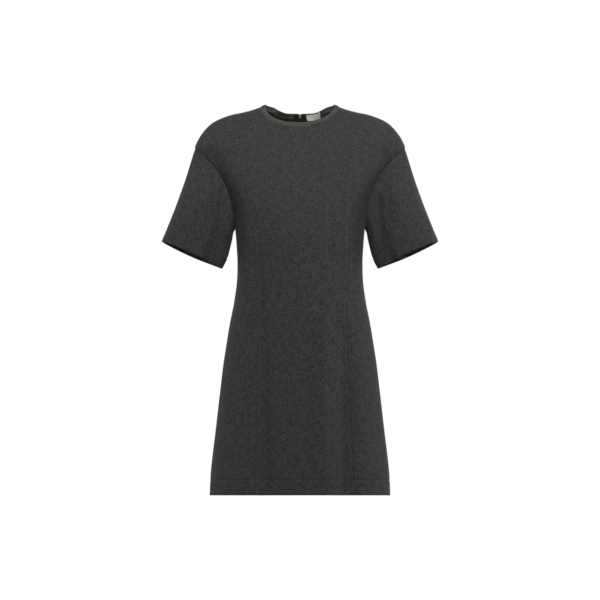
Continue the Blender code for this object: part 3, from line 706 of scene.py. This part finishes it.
def sleeve_surface(face, side, turn, along):
    """Points of a sleeve. along is 0 at the armhole and 1 at the cuff, turn is 0 at its outer
    edge and 1 at its inner edge."""
    turn, along = np.broadcast_arrays(turn, along)
    low = (1.0 - np.cos(math.pi * turn)) / 2
    row = {name: read(SLEEVE, name, along) for name in SLEEVE}
    x, drop = armhole((row["outer_x"], row["outer_drop"]), (row["inner_x"], row["inner_drop"]),
                      row["bow"] * ARMHOLE_BOW, low)
    seam_x, seam_drop = panel_place(face, side, np.ones_like(turn), turn)
    seam = on_body(face, side * seam_x, seam_drop)[..., 1]
    swell = np.sin(math.pi * turn) * FACING[face]
    y = row[face] * swell + (seam - SLEEVE["front"][0] * swell) * (1.0 - smooth(0.0, SEAM_BLEND, along))
    return np.stack([side * x, y, drop], axis=-1)


def sleeve_marks(length):
    """Distances down a sleeve of its rows, closer about the cuff's stitches."""
    first, last = SLEEVE_EVEN
    even = np.linspace(first, length - last, SLEEVE_ROWS)[:-1]
    return [*even, *(length - spread(0.0, last, (0.0, CUFF))[::-1])]


turns = np.linspace(0.0, 1.0, SLEEVE_TURNS)
for name, side in (("sleeve_left", 1.0), ("sleeve_right", -1.0)):
    parts = []
    for face, columns in (("back", turns[:0:-1]), ("front", turns[:-1])):
        alongs = run_down(lambda turn, along: sleeve_surface(face, side, turn, along), columns,
                          sleeve_marks)
        parts.append(sleeve_surface(face, side, columns[None, :], alongs))
    points = np.concatenate(parts, axis=1)
    along = run(points, 0)
    around = run(points, 1)
    from_seam = np.minimum(around, around[:, -1:] + around[:, 1:2] - around)
    around = around - around[:, [len(turns) - 1]]
    if side > 0:
        points, along, around, from_seam = (grid[:, ::-1] for grid in (points, along, around, from_seam))
    free = smooth(0.0, FOLDS_FROM[0], from_seam) * smooth(0.0, FOLDS_FROM[1], along)
    height = free * fold_height(SLEEVE_FOLDS, around, along) - SEAM_DIP * bell(from_seam, SEAM_ROLL)
    points = points + outward(points, True) * height[..., None]
    points, thick = turned_up(points, along[-1:] - along, CUFF, True)
    sleeve = cloth(name + "_cloth", sew(points, thick, "top", True), thick, knit, wrap=True)
    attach(sleeve, "dress")
    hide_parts(name)


# ---------------------------------------- neck band
# A narrow band of lighter, olive-grey rib, folded double and sewn round the neck seam. It is
# open at the centre back, where the zip runs up to its edge.

OPEN_HALF = 79.5
OPEN_DROP = {"front": 54.0, "back": 11.0}
OPEN_DEPTH = {"front": 71.0, "back": 64.0}
OPEN_ARCH = 2.1             # roundness of the neck opening's front
BAND_CLOTH = 2.4
BAND_ROWS = 13
# Below its seam the band goes on as a thin allowance behind the panels: height, how far it lies
# below the band's outside, and its thickness
ALLOWANCE = ((-0.05, 1.1, 1.2), (-0.12, 1.7, 0.4), (-0.24, 1.7, 0.4))
BAND_ROLL = 1.3             # how far the folded band swells between its edge and its seam
BAND_TURNS = 400            # samples of each quarter of the neck seam
ROUNDED = 14                # points that its round shoulder corners reach to each side
RIB = 2.3                   # distance between two ribs
RIB_POINTS = 4              # points to a rib
RIB_DEPTH = 0.22


def band_surface(face, side, turn, height):
    """Points on the outside of the neck band: height 0 at its seam and 1 at the neck opening."""
    turn, height = np.broadcast_arrays(turn, height)
    across, along = np.sin(turn * math.pi / 2), np.cos(turn * math.pi / 2)
    x, drop = neck_seam(face, side, turn)
    seam = on_body(face, side * x, drop)
    opening = np.stack([side * OPEN_HALF * across, OPEN_DEPTH[face] * along * FACING[face],
                        OPEN_DROP[face] * neck_fall(face, side, across, OPEN_ARCH)], axis=-1)
    return seam + (opening - seam) * height[..., None]


def band_turn(x, height):
    """The turn at which the band is a distance from the centre line, at a height on it."""
    half = NECK_HALF + (OPEN_HALF - NECK_HALF) * np.clip(height, 0.0, 1.0)
    return 2.0 / math.pi * np.arcsin(x / half)


def read_line(line, lengths, at):
    """Points of a line at distances along it. lengths are the distances of its own points."""
    return np.stack([np.interp(at, lengths, line[:, axis]) for axis in range(3)], axis=1)


rib = heather("neck rib", dark=(0.047, 0.046, 0.039), light=(0.120, 0.116, 0.098), fleck=0.0017,
              wale=0.0011, nap=0.05, relief=0.30)

turns = np.linspace(0.0, 1.0, BAND_TURNS)
first = band_turn(ZIP_GAP, 0.0)     # where the band's ends are
back_turns = first + (1.0 - first) * turns
heights, sunk, wall = np.concatenate([
    np.stack([np.linspace(1.0, 0.0, BAND_ROWS), np.zeros(BAND_ROWS), np.full(BAND_ROWS, BAND_CLOTH)]),
    np.array(ALLOWANCE).T], axis=1)
heights = heights[:, None]
band = np.concatenate([band_surface(face, side, turn[None, :], heights) for face, side, turn in (
    ("back", -1.0, back_turns), ("front", -1.0, turns[-2::-1]),
    ("front", 1.0, turns[1:]), ("back", 1.0, back_turns[-2::-1]))], axis=1)
length = run(band, 1).mean(axis=0)
stations = np.linspace(0.0, length[-1], int(length[-1] / RIB) * RIB_POINTS + 1)
band = np.stack([read_line(row, length, stations) for row in band])

# Its two ends are cut straight down beside the zip
for end, edge_x in ((0, -ZIP_GAP), (-1, ZIP_GAP)):
    near = np.maximum(1.0 - np.abs(stations - stations[end]) / GAP_EASE, 0.0) ** 2
    band[..., 0] += (edge_x - band[:, [end], 0]) * near

# Its free edge is rounded where it turns down from each shoulder to the front
for corner in (np.argmin(band[0, :, 0]), np.argmax(band[0, :, 0])):
    reach = np.arange(-ROUNDED, ROUNDED + 1)
    mean = np.mean([band[:, corner + reach + shift] for shift in range(-ROUNDED, ROUNDED + 1)], axis=0)
    share = np.clip(heights, 0.0, 1.0) * (1.0 - (reach / (ROUNDED + 1)) ** 2)
    band[:, corner + reach] += (mean - band[:, corner + reach]) * share[..., None]

# It swells between its edge and its seam, and its ribs flatten towards its ends
from_ends = np.minimum(stations, length[-1] - stations)
ribs = RIB_DEPTH * np.cos(2 * math.pi / RIB_POINTS * np.arange(len(stations)))
ribs = ribs * smooth(0.0, 2 * RIB, from_ends)
raised = BAND_ROLL * np.sin(math.pi * np.maximum(heights, 0.0)) - sunk[:, None] + ribs
band = band + outward(band) * raised[..., None]
neck_band = cloth("neck_band_rib", sew(band, wall, "left right"), wall, rib)
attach(neck_band, "dress")
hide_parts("neck_band")


# ---------------------------------------- zip
# A zip is sewn behind the open edges of the centre back: two near-black woven tapes, and their
# moulded teeth, closed all the way up to the slider at the neck.

LAYER = 0.5                 # gap between a panel and what lies on it
TAPE_INNER = 0.55           # the tapes' edges, from the centre line. The teeth grip the inner one
TAPE_OUTER = 14.0
TAPE_CLOTH = 0.8
TAPE_COLUMNS = 9            # points across a tape
TAPE_END = 0.70             # down value at which the tapes end, and the teeth
TEETH_END = 0.65
ZIP_ROWS = (9, 64)          # rows of the zip on the neck band, and below it
ZIP_BELOW = 0.1             # down value at which the second begin
CHAIN_THICK = 2.0
CHAIN_DOWN = 3.9            # from the neck opening to the first tooth
TOOTH = (2.7, 1.22, 1.9)    # a tooth's width, length and thickness
TOOTH_CORNER = 0.28
TOOTH_OFF = 0.75            # from the centre line to a tooth's middle
TOOTH_STEP = 1.25           # from a tooth to the next, which is on the other tape


def behind_zip(x, end):
    """Lines of the centre back's outside at distances x, from the neck opening down to a down
    value, and how thick the cloth is there."""
    heights = np.linspace(1.0, 0.0, ZIP_ROWS[0])
    drops = panel_place("back", 1.0, 0.0, np.linspace(ZIP_BELOW, end, ZIP_ROWS[1]))[1]
    lines = [np.concatenate([band_surface("back", 1.0, band_turn(off, heights), heights),
                             on_body("back", np.full(len(drops), off), drops)]) for off in x]
    return np.stack(lines, axis=1), np.repeat([BAND_CLOTH, CLOTH], ZIP_ROWS)


def woven(name, colour, thread, roughness, sheen=0.0):
    """Plain woven cloth of one colour. thread is the distance between threads, in metres."""
    finish, tree, shader = new_finish(name, {"Roughness": roughness, "Sheen Weight": sheen})
    warp, weft = (bands(tree, way, thread, waver=0.6, detail=2.0) for way in 'XY')
    crossed = weigh(tree, warp, 1.0, weft)
    uneven = mottle(tree, thread / 0.35, detail=2.0)
    dye(tree, shader, weigh(tree, crossed, 0.35, uneven), [
        (place, [share * part for part in colour]) for place, share in ((0.2, 0.80), (1.0, 1.10))])
    emboss(tree, shader, crossed, 0.35, 0.0002)
    return finish


def hard_finish(name, colour, metallic, shine, grain):
    """Plastic or metal of one colour, whose shine varies over a fine grain, in metres. shine is
    its lowest and highest roughness."""
    finish, tree, shader = new_finish(name, {"Base Color": (*colour, 1.0), "Metallic": metallic})
    place = node(tree, 'ShaderNodeTexCoord')
    grit = node(tree, 'ShaderNodeTexNoise', Scale=1.0 / grain, Detail=3.0)
    tree.links.new(place.outputs["Object"], grit.inputs["Vector"])
    rough = node(tree, 'ShaderNodeMapRange', **{"To Min": shine[0], "To Max": shine[1]})
    tree.links.new(grit.outputs["Fac"], rough.inputs["Value"])
    tree.links.new(rough.outputs["Result"], shader.inputs["Roughness"])
    emboss(tree, shader, grit.outputs["Fac"], 0.12, 0.0001)
    return finish


tape_weave = woven("zip tape", (0.016, 0.016, 0.015), 0.0007, 0.9)
for name, side in (("zip_tape_left", 1.0), ("zip_tape_right", -1.0)):
    lines, covered = behind_zip(np.linspace(TAPE_INNER, TAPE_OUTER, TAPE_COLUMNS), TAPE_END)
    lines[..., 0] *= side
    if side > 0:
        lines = lines[:, ::-1]
    lines = lines - outward(lines) * (covered + LAYER)[:, None, None]
    tape = cloth(name + "_woven", lines, TAPE_CLOTH, tape_weave)
    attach(tape, "dress")
    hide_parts(name)

spine, covered = behind_zip(np.array([0.0]), TEETH_END)
spine = spine[:, 0]
along = unit(np.gradient(spine, axis=0))
out = np.stack([np.zeros(len(spine)), along[:, 2], -along[:, 1]], axis=1)
middle = spine - out * (covered + LAYER + TAPE_CLOTH / 2)[:, None]
length = run(middle[None], 1)[0]
places = np.arange(CHAIN_DOWN + TOOTH[1] / 2, length[-1] - TOOTH[1] / 2, TOOTH_STEP)
middle, along, out = (read_line(part, length, places) for part in (middle, along, out))
tooth = np.array([(x * (TOOTH[0] / 2 - inset), y * (TOOTH[1] / 2 - inset),
                   z * (TOOTH[2] / 2 - TOOTH_CORNER + inset))
                  for z, inset in ((1, TOOTH_CORNER), (1, 0.0), (-1, 0.0), (-1, TOOTH_CORNER))
                  for x, y in ((-1, -1), (1, -1), (1, 1), (-1, 1))])
tooth_faces = np.array([(0, 1, 2, 3)] + [(a + c, a + 4 + c, a + 4 + (c + 1) % 4, a + (c + 1) % 4)
                                         for a in (0, 4, 8) for c in range(4)] + [(15, 14, 13, 12)])
verts, faces = [], []
for i in range(len(places)):
    x = tooth[:, [0]] + (TOOTH_OFF if i % 2 else -TOOTH_OFF)
    verts.append(middle[i] + x * (1.0, 0.0, 0.0) + tooth[:, [1]] * along[i] + tooth[:, [2]] * out[i])
    faces.append(tooth_faces + i * len(tooth))
teeth = new_piece("zip_teeth", verts, faces,
                  hard_finish("zip teeth", (0.014, 0.014, 0.014), 0.0, (0.32, 0.50), 0.0004))
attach(teeth, "dress")
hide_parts("zip_chain")


# ---------------------------------------- slider and pull
# The slider is cast in silver metal: two shield-shaped plates round the teeth, joined by a post
# at the top, with a bridge on the outer one. The pull is a pressed tab that hangs from the bridge.

PLATE_THICK = 1.0
PLATE_GAP = 0.3             # between the plates and the teeth
SLIDER_DOWN = 4.9           # from the neck opening to the slider's middle
PLATE = (                   # distance down from the plate's middle, and half-width there
    (-4.25, 1.5), (-3.9, 2.5), (-3.1, 3.0), (-1.2, 2.9), (1.2, 2.4), (3.2, 2.25), (4.0, 1.7),
    (4.25, 0.9))
POST = (1.6, -3.9, -2.2)    # half-width, upper and lower end
BRIDGE_HALF, BRIDGE_INNER, BRIDGE_WALL = 0.6, 1.2, 1.0      # half-width, space inside, and wall
BRIDGE_FOOT = 0.3           # how far the bridge's feet are sunk in the plate
BRIDGE_SQUARE = 0.7         # power that makes its round arch squarer, less is squarer
CHAIN_TOP = BAND_CLOTH + LAYER + (TAPE_CLOTH - CHAIN_THICK) / 2     # below the band's outside
CASTING = 0.16              # how fine the casting's surface is
POLISH = 3                  # how often it is smoothed
PULL_SIZE = (5.2, 20.0)     # width and length
PULL_SQUARE = 0.45          # power that makes its outline squarer than an oval
PULL_EDGE = ((0.30, 0.50), (0.09, 0.41), (0.0, 0.20))       # its rounding: inset and height
PULL_BAR = 0.6              # from the bar's middle, which turns under the bridge, to its edges
PULL_WINDOW = (2.2, 3.6)    # width of the window below the bar, and how far down it ends
WINDOW_EDGE = ((-0.20, -0.50), (-0.05, -0.42), (0.0, -0.25))
PULL_LEAN = 40.0            # degrees from the vertical


def add_loft(lump, rings, closed=False):
    """Adds a solid through rings of points: with flat ends, or closed into a loop."""
    loops = [[lump.verts.new(point) for point in ring] for ring in rings]
    for upper, lower in zip(loops, loops[1:] + loops[:1] * closed):
        for i in range(len(upper)):
            j = (i + 1) % len(upper)
            lump.faces.new((upper[i], upper[j], lower[j], lower[i]))
    if not closed:
        lump.faces.new(loops[0][::-1])
        lump.faces.new(loops[-1])


def metal_piece(name, lump, point, lean, casting=None):
    """A piece made in millimetres, +Y down the cloth and +Z outward, at a point of the centre
    back. A casting's parts are melted into one."""
    bmesh.ops.recalc_face_normals(lump, faces=lump.faces)
    piece = put(name, bpy.data.meshes.new(name))
    lump.to_mesh(piece.data)
    lump.free()
    if casting:
        melt = piece.modifiers.new("melt", 'REMESH')
        melt.mode, melt.voxel_size = 'VOXEL', casting
        piece.modifiers.new("polish", 'SMOOTH').iterations = POLISH
        melted = piece.evaluated_get(bpy.context.evaluated_depsgraph_get())
        piece.data = bpy.data.meshes.new_from_object(melted)
        piece.modifiers.clear()
    place = Matrix.Translation(Vector((point[0], point[1], -point[2])) * MM)
    piece.data.transform(place @ Matrix.Rotation(math.atan2(-math.cos(lean), math.sin(lean)), 4, 'X')
                         @ Matrix.Scale(MM, 4))
    piece.data.shade_smooth()
    piece.data.materials.append(silver)
    return piece


def squarer(value, power):
    """A sine or cosine to a power below 1, with its sign, which makes a round shape squarer."""
    return math.copysign(abs(value) ** power, value)


def oblong(width, top, bottom, edge):
    """Rings of a rounded oblong. edge is the inset and height of those on one side of it, which
    the other side mirrors."""
    loops = []
    for inset, z in (*edge, *((inset, -z) for inset, z in edge[::-1])):
        half_width, half_length = width / 2 - inset, (bottom - top) / 2 - inset
        loops.append([(half_width * squarer(math.cos(angle), PULL_SQUARE),
                       (top + bottom) / 2 + half_length * squarer(math.sin(angle), PULL_SQUARE), z)
                      for angle in np.linspace(0.0, 2 * math.pi, 80, endpoint=False)])
    return loops


silver = hard_finish("zip metal", (0.60, 0.60, 0.58), 1.0, (0.24, 0.42), 0.0005)
outer_plate = -(CHAIN_TOP - PLATE_GAP - PLATE_THICK / 2)
inner_plate = -(CHAIN_TOP + CHAIN_THICK + PLATE_GAP + PLATE_THICK / 2)
plate_face = outer_plate + PLATE_THICK / 2
lump = bmesh.new()
shield = [(half, y) for y, half in PLATE] + [(-half, y) for y, half in PLATE[::-1]]
for z in (outer_plate, inner_plate):
    add_loft(lump, [[(x, y, z + half) for x, y in shield] for half in (-PLATE_THICK / 2, PLATE_THICK / 2)])
half, upper, lower = POST
add_loft(lump, [[(-half, upper, z), (half, upper, z), (half, lower, z), (-half, lower, z)]
                for z in (inner_plate, outer_plate)])
bridge = []
for angle in np.linspace(0.0, math.pi, 25):
    across, tall = squarer(math.cos(angle), BRIDGE_SQUARE), squarer(math.sin(angle), BRIDGE_SQUARE)
    inner, outer = (((BRIDGE_INNER + wall) * across,
                     plate_face - BRIDGE_FOOT + (BRIDGE_FOOT + 2 * BRIDGE_INNER + wall) * tall)
                    for wall in (0.0, BRIDGE_WALL))
    bridge.append([(-BRIDGE_HALF, *inner), (BRIDGE_HALF, *inner),
                   (BRIDGE_HALF, *outer), (-BRIDGE_HALF, *outer)])
add_loft(lump, bridge)
opening, seam = band_surface("back", 1.0, 0.0, np.array([1.0, 0.0]))
lie = (seam - opening) / np.linalg.norm(seam - opening)
out = np.array([0.0, lie[2], -lie[1]])
middle = opening + lie * SLIDER_DOWN
slider = metal_piece("zip_slider_cast", lump, middle, math.atan2(lie[1], lie[2]), CASTING)
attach(slider, "dress")
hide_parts("zip_slider")

lump = bmesh.new()
add_loft(lump, oblong(PULL_SIZE[0], -PULL_BAR, PULL_SIZE[1] - PULL_BAR, PULL_EDGE)
         + oblong(PULL_WINDOW[0], PULL_BAR, PULL_WINDOW[1], WINDOW_EDGE), closed=True)
hinge = middle + out * (plate_face + BRIDGE_INNER)
pull = metal_piece("zip_pull_tab", lump, hinge, math.radians(PULL_LEAN))
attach(pull, "pull")
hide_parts("zip_pull")


# ---------------------------------------- neck label
# A blank white label of woven satin, sewn by its corners inside the back neck beside the zip, on
# the wearer's left.

LABEL_X = (15.0, 47.0)      # from the centre line
LABEL_HEIGHTS = (0.85, -0.35)       # its upper and lower edge, as heights on the neck band
LABEL_SLIP = 2.0            # how far its lower edge is turned outward
LABEL_TILT = 0.10           # how much higher its outer end is, as a height on the band
LABEL_HANG = 3.0            # how far its lower edge hangs free of the cloth
LABEL_CLOTH = 0.5
LABEL_POINTS = (25, 13)     # across and down

across = np.linspace(1.0, 0.0, LABEL_POINTS[0])
down = np.linspace(0.0, 1.0, LABEL_POINTS[1])[:, None]
x = LABEL_X[0] + (LABEL_X[1] - LABEL_X[0]) * across + LABEL_SLIP * down
height = LABEL_HEIGHTS[0] + (LABEL_HEIGHTS[1] - LABEL_HEIGHTS[0]) * down + LABEL_TILT * (across - 0.5)
points = band_surface("back", 1.0, band_turn(x, height), height)
points = points - outward(points) * (BAND_CLOTH + LAYER + LABEL_HANG * down ** 2)[..., None]
satin = woven("satin label", (0.90, 0.90, 0.88), 0.0004, roughness=0.45, sheen=0.15)
label = cloth("neck_label_satin", points, LABEL_CLOTH, satin)
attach(label, "dress")
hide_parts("label")
